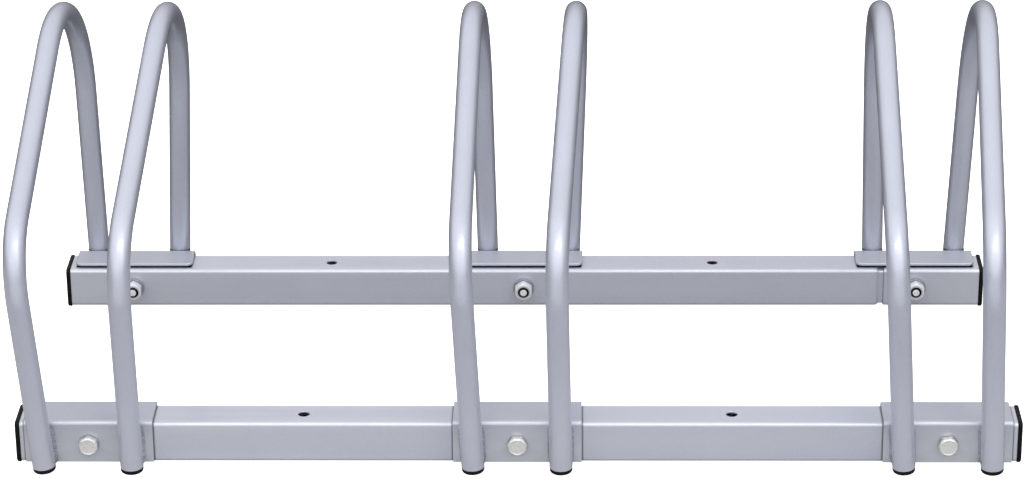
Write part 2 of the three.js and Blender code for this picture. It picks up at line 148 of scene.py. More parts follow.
# Fasteners
BOLT_RADIUS = 4 * MM
BOLT_PROTRUSION = 1 * MM  # past the nut
THREAD_PITCH = 1.25 * MM
THREAD_DEPTH = 0.65 * MM
THREAD_LENGTH = 22 * MM
BOLT_TIP_RADIUS = 2.6 * MM  # a plain tip ahead of the thread
BOLT_TIP_LENGTH = 3.2 * MM
BOLT_TIP_ROUNDING = 0.35 * MM
BOLT_TIP_FLARE = 0.1 * MM
BOLT_TIP_FILLET = 0.2 * MM
BOLT_TIP_FACE_SHARE = 0.3  # of the tip's radius
BOLT_NECK = 0.3 * MM  # rounding between the shank and the head
HEX_FLATS = 13 * MM
HEX_CORNER_RADIUS = 7.3 * MM
HEAD_HEIGHT = 5.3 * MM
DISH_RADIUS = 4.9 * MM  # the head's face is dished inside a raised rim
DISH_DEPTH = 0.4 * MM
RIM_RADIUS = 5.7 * MM
HEAD_FACE_PROFILE = (  # radius, and share of the dish's depth
    (0.3 * DISH_RADIUS, 1),
    (0.95 * DISH_RADIUS, 1),
    (DISH_RADIUS, 0.9),
    (0.96 * RIM_RADIUS, 0.12),
    (0.985 * RIM_RADIUS, 0),
    (RIM_RADIUS, 0.06),
)
HEAD_SEAT_PROFILE = ((0.995, 0.3 * MM), (0.97, 0))  # share of the hexagon, height off the seat
NUT_FACE_RADIUS = 5.9 * MM
CHAMFER_ANGLE = math.radians(33)
NUT_BORE_RADIUS = 4.05 * MM
COUNTERSINK_RADIUS = 4.3 * MM
COUNTERSINK_DEPTH = 0.5 * MM
HEAD_TURNS = [math.radians(turn) for turn in (30, 0, 8)]
NUT_TURN = math.radians(30)
WASHER_RADIUS = 8 * MM
WASHER_EDGE = 0.3 * MM

# Painted shade, as shares from 0, none, to 1, black
MOUTH_SHADE = (1, 0.9, 0.6, 0.3)  # ring by ring from the short bar's mouth
HEAD_SIDE_SHADE = 0.1
HEAD_SEAT_SHADE = 0.6
CORNER_SHADE = (0.05, 0.45)  # on the middle of a head's sides, and added at the corners
NUT_SIDE_SHADE = 0.55
COUNTERSINK_SHADE = 0.5
SADDLE_END_SHADE = 0.75
HEAD_SHADE_RADIUS = 7.9 * MM  # of the painted shade round a bolt head
HEAD_SHADE_FADE = 1.4 * MM
SADDLE_END_SHADE_FADE = (0.6 * MM, 1.5 * MM)  # off a saddle's end
PLATE_SHADOW_MARGIN = 1 * MM  # the painted shadow under a plate fades over this length at the plate's ends
PLATE_SHADOW_FADE = (-0.2 * MM, 0.5 * MM)  # behind the plate's front edge
PLATE_SHADOW_DEPTH = (0.5 * MM, 0.2 * MM)  # below the bar's top

FIT = 0.3 * MM  # clearance between touching pieces

# Facets
CORNER_STEPS = 8
BEND_STEPS = 8
TUBE_SIDES = 56
PATH_STEP = math.radians(3)
ROUND_SIDES = 72
THREAD_RINGS_PER_PITCH = 8
ROUNDED_ANGLE = math.radians(50)  # edges steeper than this are rounded
ROUNDED_SEGMENTS = 3
CREASE_ANGLE = math.radians(48)  # and steeper than this are shaded sharp

# ---------- places from the frame ----------

places = [middle(f"front_saddle_{number}").x for number in (1, 2, 3)]
long_low, long_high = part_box("front_bar_long")
short_low, short_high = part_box("front_bar_short")
BAR_HALF = (long_high.z - long_low.z) / 2
BAR_MIDDLE = (long_high.z + long_low.z) / 2
BAR_TOP = long_high.z
BAR_END = short_high.x
SHORT_START = short_low.x
SPIGOT_END = long_high.x
FRONT_BAR_Y = (long_high.y + long_low.y) / 2
REAR_BAR_Y = middle("rear_bar_long").y
BRACKET_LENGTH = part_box("front_saddle_1")[1].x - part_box("front_saddle_1")[0].x
FLANGE_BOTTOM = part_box("front_saddle_1")[0].z
SADDLE_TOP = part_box("front_saddle_1")[1].z
PLATE_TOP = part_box("rear_plate_1")[1].z
NUT_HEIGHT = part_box("rear_nut_1")[1].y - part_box("rear_nut_1")[0].y
WASHER_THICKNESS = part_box("rear_washer_1")[1].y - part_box("rear_washer_1")[0].y
BRACKET_FACE = FIT + SHEET  # outer face of a flange, off the bar's face
LEG_OFFSET = BRACKET_FACE + FIT + TUBE_RADIUS
FRONT_LEG_Y = FRONT_BAR_Y - BAR_HALF - LEG_OFFSET
REAR_LEG_Y = REAR_BAR_Y + BAR_HALF + LEG_OFFSET
CROWN_HEIGHT = KNEE_HEIGHT + (REAR_LEG_Y - FRONT_LEG_Y) * math.tan(RISE_ANGLE) - FACET_RISE
BORE_HALF = BAR_HALF - BAR_WALL
BORE_CORNER_RADIUS = BAR_CORNER_RADIUS - BAR_WALL
SPIGOT_HALF = BORE_HALF - FIT
BEND_OUTER_RADIUS = SHEET_BEND_RADIUS + SHEET


# ---------- mesh helpers ----------

SHADE_ATTRIBUTE = "hollow"  # the mesh attribute that says how much painted shade a point gets


def skin(rings, looped=False):
    """A mesh over a chain of rings with equal point counts, looped or closed by flat caps."""
    mesh = bmesh.new()
    loops = [[mesh.verts.new(point) for point in ring] for ring in rings]
    pairs = list(zip(loops, loops[1:]))
    if looped:
        pairs.append((loops[-1], loops[0]))
    for here, there in pairs:
        for i in range(len(here)):
            j = (i + 1) % len(here)
            mesh.faces.new((here[i], here[j], there[j], there[i]))
    if not looped:
        mesh.faces.new(reversed(loops[0]))
        mesh.faces.new(loops[-1])
    bmesh.ops.recalc_face_normals(mesh, faces=mesh.faces)
    return mesh


def arc(centre_a, centre_b, radius, start, end, steps):
    """Points on a circle from one angle to another, both included."""
    angles = [math.radians(start + (end - start) * i / steps) for i in range(steps + 1)]
    return [(centre_a + radius * math.cos(t), centre_b + radius * math.sin(t)) for t in angles]


def square_ring(x, half, radius):
    """A rounded square across the X axis."""
    centre = half - radius
    ring = []
    for side_y, side_z, start in ((1, 1, 0), (-1, 1, 90), (-1, -1, 180), (1, -1, 270)):
        corner = arc(side_y * centre, side_z * centre, radius, start, start + 90, CORNER_STEPS)
        ring += [Vector((x, y, z)) for y, z in corner]
    return ring


def circle_ring(radius, height):
    """A circle round the Z axis. Its radius and its height may be functions of the angle."""
    ring = []
    for i in range(ROUND_SIDES):
        angle = 2 * math.pi * i / ROUND_SIDES
        reach = radius(angle) if callable(radius) else radius
        rise = height(angle) if callable(height) else height
        ring.append(Vector((reach * math.cos(angle), reach * math.sin(angle), rise)))
    return ring


def round_edges(mesh, width):
    """Rounds every edge whose faces meet at a steep angle."""
    edges = [e for e in mesh.edges if e.is_manifold and e.calc_face_angle() > ROUNDED_ANGLE]
    bmesh.ops.bevel(
        mesh, geom=edges, offset=width, segments=ROUNDED_SEGMENTS, profile=0.5, affect="EDGES")


def mark_painted_shade(mesh, rings, count):
    """Marks rings of a fresh skin, of so many points each, with painted shade.

    rings pairs a ring's number with its share of painted shade, which may be a function of the
    angle.
    """
    layer = mesh.verts.layers.float.new(SHADE_ATTRIBUTE)
    mesh.verts.ensure_lookup_table()
    for ring, share in rings:
        for i in range(count):
            painted_shade = share(2 * math.pi * i / count) if callable(share) else share
            mesh.verts[ring * count + i][layer] = painted_shade


def finished(name, mesh, material, stands_for=None, matrix=None):
    """Turns a bmesh into a piece of the rack that rides on its one body."""
    if matrix is not None:
        mesh.transform(matrix)
    data = bpy.data.meshes.new(name)
    mesh.to_mesh(data)
    mesh.free()
    data.materials.append(material)
    data.polygons.foreach_set("use_smooth", [True] * len(data.polygons))
    data.set_sharp_from_angle(angle=CREASE_ANGLE)
    piece = bpy.data.objects.new(name, data)
    bpy.context.scene.collection.objects.link(piece)
    normals = piece.modifiers.new("even_normals", "WEIGHTED_NORMAL")
    normals.keep_sharp = True
    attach(piece, "root")
    if stands_for:
        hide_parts(stands_for)
    return piece


def drill(mesh, cutters):
    """Cuts the cutters, which are bmeshes, out of a bmesh."""
    body = bpy.data.objects.new("body", bpy.data.meshes.new("body"))
    mesh.to_mesh(body.data)
    bpy.context.scene.collection.objects.link(body)
    helpers = []
    for cutter in cutters:
        helper = bpy.data.objects.new("cutter", bpy.data.meshes.new("cutter"))
        cutter.to_mesh(helper.data)
        cutter.free()
        bpy.context.scene.collection.objects.link(helper)
        cut = body.modifiers.new("cut", "BOOLEAN")
        cut.object = helper
        cut.solver = "EXACT"
        helpers.append(helper)
    bpy.context.view_layer.update()
    result = body.evaluated_get(bpy.context.evaluated_depsgraph_get()).to_mesh()
    mesh.clear()
    mesh.from_mesh(result)
    for helper in [body, *helpers]:
        bpy.data.objects.remove(helper)
    return mesh


def along_y(x, y, z, flip=False):
    """Places a piece made along +Z so that it runs along +Y, or along -Y if flipped."""
    turn = Matrix.Rotation(math.radians(90 if flip else -90), 4, "X")
    return Matrix.Translation((x, y, z)) @ turn


# ---------- bars ----------


def bolt_hole(x):
    rings = [circle_ring(BOLT_HOLE_RADIUS, height) for height in (-2 * BAR_HALF, 2 * BAR_HALF)]
    cutter = skin(rings)
    cutter.transform(along_y(x, 0, 0))
    return cutter


def screw_hole(x):
    """A hole down through both walls, with a slightly rolled lip at the top."""
    rings = [circle_ring(SCREW_HOLE_RADIUS, z) for z in (-2 * BAR_HALF, BAR_HALF - SCREW_HOLE_LIP)]
    for outwards, above in SCREW_LIP_PROFILE:
        radius = SCREW_HOLE_RADIUS + outwards * SCREW_HOLE_LIP
        rings.append(circle_ring(radius, BAR_HALF + above * SCREW_HOLE_LIP))
    rings.append(circle_ring(radius, 2 * BAR_HALF))
    cutter = skin(rings)
    cutter.transform(Matrix.Translation((x, 0, 0)))
    return cutter


def holes(start, end, strays):
    bolts = [bolt_hole(x) for x in places if start < x < end]
    screws = [(a + b) / 2 + stray for a, b, stray in zip(places, places[1:], strays)]
    return bolts + [screw_hole(x) for x in screws if start < x < end]


def swage_rings(start, half_from, half_to, radius_from, radius_to):
    """Rings of a smooth neck that narrows, or widens, over the swage's length."""
    rings = []
    for i in range(SWAGE_STEPS + 1):
        share = i / SWAGE_STEPS
        ease = share * share * (3 - 2 * share)
        half = half_from + (half_to - half_from) * ease
        radius = radius_from + (radius_to - radius_from) * ease
        rings.append(square_ring(start + SWAGE_LENGTH * share, half, radius))
    return rings


def long_bar(strays):
    shoulder = SHORT_START - NECK_REVEAL
    outer = [square_ring(-BAR_END, BAR_HALF, BAR_CORNER_RADIUS)]
    outer += swage_rings(shoulder, BAR_HALF, SPIGOT_HALF, BAR_CORNER_RADIUS, BORE_CORNER_RADIUS)
    outer.append(square_ring(SPIGOT_END, SPIGOT_HALF, BORE_CORNER_RADIUS))
    inner = [square_ring(-BAR_END, BORE_HALF, BORE_CORNER_RADIUS)]
    inner += swage_rings(
        shoulder, BORE_HALF, SPIGOT_HALF - BAR_WALL, BORE_CORNER_RADIUS, BORE_CORNER_RADIUS / 2)
    inner.append(square_ring(SPIGOT_END, SPIGOT_HALF - BAR_WALL, BORE_CORNER_RADIUS / 2))
    return drill(skin(outer + inner[::-1], looped=True), holes(-BAR_END, SPIGOT_END, strays))


def short_bar(strays):
    mouth = []
    for i in range(BEND_STEPS + 1):
        angle = math.pi / 2 * i / BEND_STEPS
        inset = MOUTH_INSET * (1 - math.sin(angle))
        x = SHORT_START + MOUTH_LENGTH * (1 - math.cos(angle))
        mouth.append(square_ring(x, BAR_HALF - inset, BAR_CORNER_RADIUS - inset))
    rings = mouth + [
        square_ring(BAR_END, BAR_HALF, BAR_CORNER_RADIUS),
        square_ring(BAR_END, BORE_HALF, BORE_CORNER_RADIUS),
        square_ring(SHORT_START, BORE_HALF, BORE_CORNER_RADIUS),
    ]
    mesh = skin(rings, looped=True)
    # Painted shade in the gap at the short bar's mouth, and black in its bore
    mark_painted_shade(mesh, [*enumerate(MOUTH_SHADE), (len(rings) - 1, 1)], len(rings[0]))
    return drill(mesh, holes(SHORT_START, BAR_END, strays))


def bar_plug():
    """A crowned flange that covers a bar's end, at x = 0, from -X, and a hollow stem inside it."""
    half = BAR_HALF + PLUG_OVERHANG
    radius = BAR_CORNER_RADIUS + PLUG_OVERHANG
    rings = []
    face_half = half - PLUG_ROUNDING
    face_radius = radius - PLUG_ROUNDING
    for share in PLUG_CROWN_SHARES:
        x = -PLUG_FLANGE + PLUG_CROWN * share ** 2
        rings.append(square_ring(x, face_half * share, face_radius * share))
    for i in range(BEND_STEPS + 1):
        angle = math.pi / 2 * i / BEND_STEPS
        inset = PLUG_ROUNDING * (1 - math.sin(angle))
        x = PLUG_CROWN - PLUG_FLANGE + PLUG_ROUNDING * (1 - math.cos(angle))
        rings.append(square_ring(x, half - inset, radius - inset))
    stem_bore = SPIGOT_HALF - PLUG_STEM_WALL
    rings += [
        square_ring(-FIT - PLUG_BACK_EDGE, half, radius),
        square_ring(-FIT, half - PLUG_BACK_EDGE, radius - PLUG_BACK_EDGE),
        square_ring(-FIT, SPIGOT_HALF, BORE_CORNER_RADIUS),
        square_ring(PLUG_STEM_LENGTH, SPIGOT_HALF, BORE_CORNER_RADIUS),
        square_ring(PLUG_STEM_LENGTH, stem_bore, BORE_CORNER_RADIUS / 2),
        square_ring(0, stem_bore, BORE_CORNER_RADIUS / 2),
    ]
    return skin(rings)


def add_bar(name, y):
    place = Matrix.Translation((0, y, BAR_MIDDLE))
    strays = SCREW_STRAYS[name]
    for part, mesh in (("long", long_bar(strays)), ("short", short_bar(strays))):
        node = f"{name}_bar_{part}"
        finished(f"{node}_coated", mesh, rail, node, place)
    for side, x, turn in (("left", -BAR_END, 0), ("right", BAR_END, math.pi)):
        node = f"{name}_bar_plug_{side}"
        matrix = Matrix.Translation((x, y, BAR_MIDDLE)) @ Matrix.Rotation(turn, 4, "Z")
        finished(f"{node}_moulded", bar_plug(), plastic, node, matrix)


# ---------- hoops ----------


def hoop_corners(number, side):
    """Corners of a hoop's centre-line from its front foot to its rear foot."""
    knee, crown, heel = (
        strays[number - 1][side > 0] * MM for strays in (KNEE_STRAYS, CROWN_STRAYS, HEEL_STRAYS))
    x = places[number - 1]
    return [
        Vector((x + side * FOOT_SPACING / 2, FRONT_LEG_Y, 0)),
        Vector((x + side * KNEE_SPACING / 2 + KNEE_SET + knee, FRONT_LEG_Y, KNEE_HEIGHT)),
        Vector((x + side * CROWN_SPACING / 2 + CROWN_SET + crown, REAR_LEG_Y, CROWN_HEIGHT)),
        Vector((x + side * FOOT_SPACING / 2 + heel, REAR_LEG_Y, 0)),
    ]


def foot_lift(axis):
    """How far a leaning foot plug is lifted along its leg to stand on its lowest edge."""
    lean = axis.angle(Vector((0, 0, 1)))
    edge = (TUBE_RADIUS - FOOT_ROUNDING) * math.sin(lean) + FOOT_ROUNDING * (1 - math.cos(lean))
    return edge / math.cos(lean)


def bend(before, corner, after, radius):
    """Stations, each a point and a direction, round one bend of a tube."""
    arriving = (corner - before).normalized()
    leaving = (after - corner).normalized()
    turn = arriving.angle(leaving)
    inward = (leaving - arriving * math.cos(turn)).normalized()
    centre = corner - arriving * radius * math.tan(turn / 2) + inward * radius
    steps = math.ceil(turn / PATH_STEP)
    stations = []
    for i in range(steps + 1):
        angle = turn * i / steps
        point = centre - inward * radius * math.cos(angle) + arriving * radius * math.sin(angle)
        stations.append((point, arriving * math.cos(angle) + inward * math.sin(angle)))
    return stations


def hoop_stations(corners):
    foot, knee, crown, heel = corners
    up = (knee - foot).normalized()
    down = (heel - crown).normalized()
    start = foot + up * (foot_lift(up) + FOOT_HEIGHT + FIT)
    end = heel - down * (foot_lift(-down) + FOOT_HEIGHT + FIT)
    stations = [(start, up), (start + up * TUBE_LIP, up)]
    stations += bend(foot, knee, crown, KNEE_RADIUS)
    stations += bend(knee, crown, heel, CROWN_RADIUS)
    stations += [(end - down * TUBE_LIP, down), (end, down)]
    return stations


def tube_rings(stations, radii):
    """Rings round a path, turned as little as possible from one to the next."""
    normal = Vector((1, 0, 0))
    rings = []
    for (point, tangent), radius in zip(stations, radii):
        normal = (normal - tangent * normal.dot(tangent)).normalized()
        other = tangent.cross(normal)
        ring = []
        for i in range(TUBE_SIDES):
            angle = 2 * math.pi * i / TUBE_SIDES
            ring.append(point + (normal * math.cos(angle) + other * math.sin(angle)) * radius)
        rings.append(ring)
    return rings


def hoop(corners):
    stations = hoop_stations(corners)
    end_radius = TUBE_RADIUS - TUBE_LIP
    between = [TUBE_RADIUS] * (len(stations) - 2)
    outer = tube_rings(stations, [end_radius, *between, end_radius])
    inner = tube_rings(stations, [TUBE_RADIUS - TUBE_WALL] * len(stations))
    return skin(outer + inner[::-1], looped=True)


def foot_plug():
    """A round-edged plug that stands on z = 0, with its stem up inside the tube."""
    sole = TUBE_RADIUS - FOOT_ROUNDING
    rings = [circle_ring(share * sole, 0) for share in FOOT_SOLE_SHARES]
    for radius, z in arc(sole, FOOT_ROUNDING, FOOT_ROUNDING, -90, 0, BEND_STEPS):
        rings.append(circle_ring(radius, z))
    stem = TUBE_RADIUS - TUBE_WALL - FIT
    rings.append(circle_ring(TUBE_RADIUS, FOOT_HEIGHT - TUBE_LIP))
    rings.append(circle_ring(TUBE_RADIUS - TUBE_LIP, FOOT_HEIGHT))
    rings.append(circle_ring(stem, FOOT_HEIGHT))
    rings.append(circle_ring(stem, FOOT_HEIGHT + FOOT_STEM_LENGTH))
    return skin(rings)


def add_foot(name, foot, corner):
    axis = (corner - foot).normalized()
    lean = Vector((0, 0, 1)).rotation_difference(axis).to_matrix().to_4x4()
    place = Matrix.Translation(foot + axis * foot_lift(axis)) @ lean
    finished(f"{name}_moulded", foot_plug(), plastic, name, place)


# ---------- brackets ----------


def saddle_outline():
    """A saddle folded over the front bar, seen from its end."""
    inner = BAR_HALF + FIT
    outer = inner + SHEET
    bend_z = SADDLE_TOP - BEND_OUTER_RADIUS
    reach = inner - SHEET_BEND_RADIUS
    points = [(-outer, FLANGE_BOTTOM), (-inner, FLANGE_BOTTOM)]
    points += arc(-reach, bend_z, SHEET_BEND_RADIUS, 180, 90, BEND_STEPS)
    points += arc(reach, bend_z, SHEET_BEND_RADIUS, 90, 0, BEND_STEPS)
    points += [(inner, FLANGE_BOTTOM), (outer, FLANGE_BOTTOM)]
    points += arc(reach, bend_z, BEND_OUTER_RADIUS, 0, 90, BEND_STEPS)
    points += arc(-reach, bend_z, BEND_OUTER_RADIUS, 90, 180, BEND_STEPS)
    return points


def plate_outline(front_edge):
    """A rear angle plate, seen from its end. Its front edge is rounded at the top by shearing."""
    inner = BAR_HALF + FIT
    outer = inner + SHEET
    bend_z = PLATE_TOP - BEND_OUTER_RADIUS
    reach = inner - SHEET_BEND_RADIUS
    roll = PLATE_EDGE_ROUNDING
    points = [(front_edge, PLATE_TOP - SHEET)]
    points += arc(reach, bend_z, SHEET_BEND_RADIUS, 90, 0, BEND_STEPS)
    points += [(inner, FLANGE_BOTTOM), (outer, FLANGE_BOTTOM)]
    points += arc(reach, bend_z, BEND_OUTER_RADIUS, 0, 90, BEND_STEPS)
    points += arc(front_edge + roll, PLATE_TOP - roll, roll, 90, 180, BEND_STEPS)
    return points


def saddle():
    rings = []
    for x in (-BRACKET_LENGTH / 2, BRACKET_LENGTH / 2):
        rings.append([Vector((x, y, z - BAR_MIDDLE)) for y, z in saddle_outline()])
    mesh = skin(rings)
    round_edges(mesh, SHEET_EDGE_ROUNDING)
    return drill(mesh, [bolt_hole(0)])


def plate():
    """The plate's outline swept along the bar, its front edge drawn back round the corners."""
    half = BRACKET_LENGTH / 2
    corner = [
        (half - PLATE_CORNER_RADIUS * (1 - s), PLATE_CORNER_RADIUS * (1 - c))
        for c, s in arc(0, 0, 1, 0, 90, BEND_STEPS)]
    stations = [(-x, back) for x, back in reversed(corner)] + corner
    rings = []
    for x, back in stations:
        outline = plate_outline(PLATE_SETBACK - BAR_HALF + back)
        rings.append([Vector((x, y, z - BAR_MIDDLE)) for y, z in outline])
    mesh = skin(rings)
    round_edges(mesh, SHEET_EDGE_ROUNDING)
    return drill(mesh, [bolt_hole(0)])


def bead_section(side, swell, reach):
    """Points (across, off the flange) round a bead beside a leg, from the leg's centre-line."""
    top = math.sqrt(TUBE_RADIUS ** 2 - (TUBE_RADIUS + FIT - BEAD_HEIGHT) ** 2)
    toe = Vector((TUBE_RADIUS + reach, 0))
    crest = Vector((top, BEAD_HEIGHT))
    bulge = (toe + crest) / 2 + (crest - toe).orthogonal().normalized() * -2 * swell
    points = []
    for i in range(BEND_STEPS + 1):
        t = i / BEND_STEPS
        points.append(toe * (1 - t) ** 2 + bulge * 2 * t * (1 - t) + crest * t ** 2)
    points.append(crest + Vector((-BEAD_SINK, -BEAD_SINK)))
    points.append(Vector((TUBE_RADIUS / 2, FIT)))
    points.append(Vector((TUBE_RADIUS / 2, -BEAD_SINK)))
    points.append(toe + Vector((-BEAD_SINK, -BEAD_SINK)))
    return [(side * across, off) for across, off in points]


def end_taper(share, least, growth):
    """A bead's thickness from one end, at share 0, to the other, at share 1."""
    return min(1, least + growth * share, least + growth * (1 - share))


def unevenness(shares, ripple, wander):
    even, rippled, wandering = shares
    return even + rippled * ripple + wandering * wander


def weld_bead(foot, corner, side, outward, top, seed):
    """A rippled bead in the corner between a leg and its flange."""
    draw = random.Random(seed)
    lean = (corner - foot).normalized()
    flange_y = foot.y - outward * (TUBE_RADIUS + FIT)
    start = FLANGE_BOTTOM + BEAD_MARGIN
    length = top - BEAD_MARGIN - start
    phase = draw.random()
    rings = []
    for i in range(BEAD_STEPS + 1):
        share = i / BEAD_STEPS
        height = start + length * share
        taper = end_taper(share, BEAD_END_SHARE, BEAD_END_GROWTH)
        ripple = abs(math.sin(math.pi * (height / BEAD_RIPPLE_PITCH + phase)))
        wander = noise.noise(Vector((height * BEAD_WANDER_SCALE, seed * BEAD_SEED_STEP, side)))
        swell = BEAD_BULGE * taper * unevenness(BEAD_SWELL_SHARES, ripple, wander)
        reach = BEAD_REACH * taper * unevenness(BEAD_REACH_SHARES, ripple, wander)
        x = foot.x + lean.x / lean.z * height
        ring = []
        for across, off in bead_section(side, swell, reach):
            ring.append(Vector((x + across, flange_y + outward * off, height)))
        rings.append(ring)
    return skin(rings)


def crest_bead(foot, corner, height, seed):
    """A bead round the front of a rear leg, in the groove between it and the plate's bend."""
    lean = (corner - foot).normalized()
    centre = foot + lean * (height / lean.z)
    rings = []
    for i in range(CREST_BEAD_STEPS + 1):
        share = i / CREST_BEAD_STEPS
        angle = math.pi * (CREST_BEAD_START + CREST_BEAD_SWEEP * share)
        out = Vector((math.cos(angle), math.sin(angle), 0))
        cell = (share * CREST_BEAD_WANDER_SCALE, seed * CREST_BEAD_SEED_STEP, 0)
        wander = noise.noise(Vector(cell))
        taper = end_taper(share, CREST_BEAD_END_SHARE, CREST_BEAD_END_GROWTH)
        thick = CREST_BEAD_RADIUS * taper * (1 + CREST_BEAD_WANDER * wander)
        ring_centre = centre + out * (TUBE_RADIUS + CREST_BEAD_STANDOFF * thick)
        ring = []
        for j in range(CREST_BEAD_SIDES):
            turn = 2 * math.pi * j / CREST_BEAD_SIDES
            upwards = Vector((0, 0, thick * math.sin(turn)))
            ring.append(ring_centre + out * thick * math.cos(turn) + upwards)
        rings.append(ring)
    return skin(rings)


def add_beads(name, foot, corner, outward, top, seed):
    for side, word in ((-1, "left"), (1, "right")):
        bead = weld_bead(foot, corner, side, outward, top, seed + side)
        finished(f"{name}_{word}", bead, weld)


# ---------- fasteners ----------


def hex_reach(angle):
    """Distance from the axis to the side of a hexagon with a flat side up and trimmed corners."""
    side = math.pi / 3
    off_middle = (angle + math.pi / 2 + side / 2) % side - side / 2
    return min(HEX_FLATS / 2 / math.cos(off_middle), HEX_CORNER_RADIUS)


def corner_shade(angle):
    """Painted shade round a hexagon, from 0 to 1: most at its corners."""
    least = HEX_FLATS / 2
    share = (hex_reach(angle) - least) / (HEX_CORNER_RADIUS - least)
    return CORNER_SHADE[0] + CORNER_SHADE[1] * share ** 3


def side_shade(angle):
    """Painted shade on a nut's sides, from 0 to 1: least at the corner that is turned up to the
    light.
    """
    return NUT_SIDE_SHADE * (1 - max(0, math.cos(angle - math.pi / 2 + NUT_TURN)))


def chamfer_drop(face_radius):
    """How far below the face the chamfer meets the hexagon's side."""
    return lambda angle: (hex_reach(angle) - face_radius) * math.tan(CHAMFER_ANGLE)


def thread_rings(start, end):
    """Rings of a helical thread that fades in over its first turn."""
    count = round((end - start) / THREAD_PITCH * THREAD_RINGS_PER_PITCH)
    rings = []
    for i in range(count + 1):
        height = start + (end - start) * i / count
        fade = min(1, i / THREAD_RINGS_PER_PITCH)

        def radius(angle, height=height, fade=fade):
            phase = (height / THREAD_PITCH - angle / (2 * math.pi)) % 1
            return BOLT_RADIUS - THREAD_DEPTH * fade * abs(2 * phase - 1)

        rings.append(circle_ring(radius, height))
    return rings


def bolt(grip):
    """A hex-head bolt along +Z, with the seat of its head at z = 0."""
    drop = chamfer_drop(RIM_RADIUS)
    face = -FIT - HEAD_HEIGHT
    end = grip + 2 * FIT + WASHER_THICKNESS + NUT_HEIGHT + BOLT_PROTRUSION
    rings = [circle_ring(radius, face + share * DISH_DEPTH) for radius, share in HEAD_FACE_PROFILE]
    corners = len(rings)
    rings.append(circle_ring(hex_reach, lambda angle: face + drop(angle)))
    for share, above in HEAD_SEAT_PROFILE:
        rings.append(circle_ring(lambda angle: share * hex_reach(angle), -FIT - above))
    rings += [circle_ring(BOLT_RADIUS + BOLT_NECK, -FIT), circle_ring(BOLT_RADIUS, 0)]
    thread = thread_rings(end - THREAD_LENGTH, end - BOLT_TIP_LENGTH)
    rings += thread
    flare = BOLT_TIP_RADIUS + BOLT_TIP_FLARE
    rings.append(circle_ring(flare, end - BOLT_TIP_LENGTH + BOLT_TIP_FILLET))
    rings.append(circle_ring(BOLT_TIP_RADIUS, end - 2 * BOLT_TIP_ROUNDING))
    tip = len(rings) - 1
    centre = (BOLT_TIP_RADIUS - BOLT_TIP_ROUNDING, end - BOLT_TIP_ROUNDING)
    for radius, z in arc(*centre, BOLT_TIP_ROUNDING, 0, 90, BEND_STEPS):
        rings.append(circle_ring(radius, z))
    rings.append(circle_ring(BOLT_TIP_FACE_SHARE * BOLT_TIP_RADIUS, end))
    mesh = skin(rings)
    # Painted shade round the head's corners and at its seat, and black on the thread's end and in
    # the gap round the tip inside the nut
    painted_shade = [(corners, corner_shade), (corners + 1, HEAD_SIDE_SHADE), (corners + 2, HEAD_SEAT_SHADE)]
    painted_shade += [(ring, 1) for ring in range(tip - len(thread) // 4, tip + 1)]
    mark_painted_shade(mesh, painted_shade, ROUND_SIDES)
    return mesh


def nut():
    """A hex nut from z = 0 up, chamfered and countersunk at both ends."""
    drop = chamfer_drop(NUT_FACE_RADIUS)
    rings = [
        circle_ring(COUNTERSINK_RADIUS, 0),
        circle_ring(NUT_FACE_RADIUS, 0),
        circle_ring(hex_reach, drop),
        circle_ring(hex_reach, lambda angle: NUT_HEIGHT - drop(angle)),
        circle_ring(NUT_FACE_RADIUS, NUT_HEIGHT),
        circle_ring(COUNTERSINK_RADIUS, NUT_HEIGHT),
        circle_ring(NUT_BORE_RADIUS, NUT_HEIGHT - COUNTERSINK_DEPTH),
        circle_ring(NUT_BORE_RADIUS, COUNTERSINK_DEPTH),
    ]
    mesh = skin(rings, looped=True)
    # Painted shade along both edges of its sides, at one countersink's edge and in the bore
    painted_shade = [(2, side_shade), (3, side_shade), (5, COUNTERSINK_SHADE), (6, 1), (7, 1)]
    mark_painted_shade(mesh, painted_shade, ROUND_SIDES)
    return mesh


def washer():
    """A stamped washer from z = 0 up, with rolled edges."""
    top = WASHER_THICKNESS
    rings = [
        circle_ring(BOLT_HOLE_RADIUS, WASHER_EDGE),
        circle_ring(BOLT_HOLE_RADIUS + WASHER_EDGE, 0),
        circle_ring(WASHER_RADIUS - WASHER_EDGE, 0),
        circle_ring(WASHER_RADIUS, WASHER_EDGE),
        circle_ring(WASHER_RADIUS, top - WASHER_EDGE),
        circle_ring(WASHER_RADIUS - WASHER_EDGE, top),
        circle_ring(BOLT_HOLE_RADIUS + WASHER_EDGE, top),
        circle_ring(BOLT_HOLE_RADIUS, top - WASHER_EDGE),
    ]
    return skin(rings, looped=True)


def add_fasteners(name, number, x, seat_y, grip, flip):
    """A bolt, washer and nut. The bolt points from its head's seat to the bar's other face."""
    place = along_y(x, seat_y, BAR_MIDDLE, flip)
    head_turn = Matrix.Rotation(-HEAD_TURNS[number - 1], 4, "Z")
    washer_lift = Matrix.Translation((0, 0, grip + FIT))
    nut_lift = Matrix.Translation((0, 0, grip + 2 * FIT + WASHER_THICKNESS))
    nut_turn = Matrix.Rotation(NUT_TURN, 4, "Z")
    plating = zinc if name == "front" else nut_zinc
    for part, mesh, material, matrix in (
            ("bolt", bolt(grip), plating, place @ head_turn),
            ("washer", washer(), dull_zinc, place @ washer_lift),
            ("nut", nut(), nut_zinc, place @ nut_lift @ nut_turn)):
        node = f"{name}_{part}_{number}"
        finished(f"{node}_plated", mesh, material, node, matrix)


# ---------- materials ----------

# Near-black painted shade in crevices and gaps
PAINTED_SHADE_COLOUR = (0.004, 0.004, 0.006)
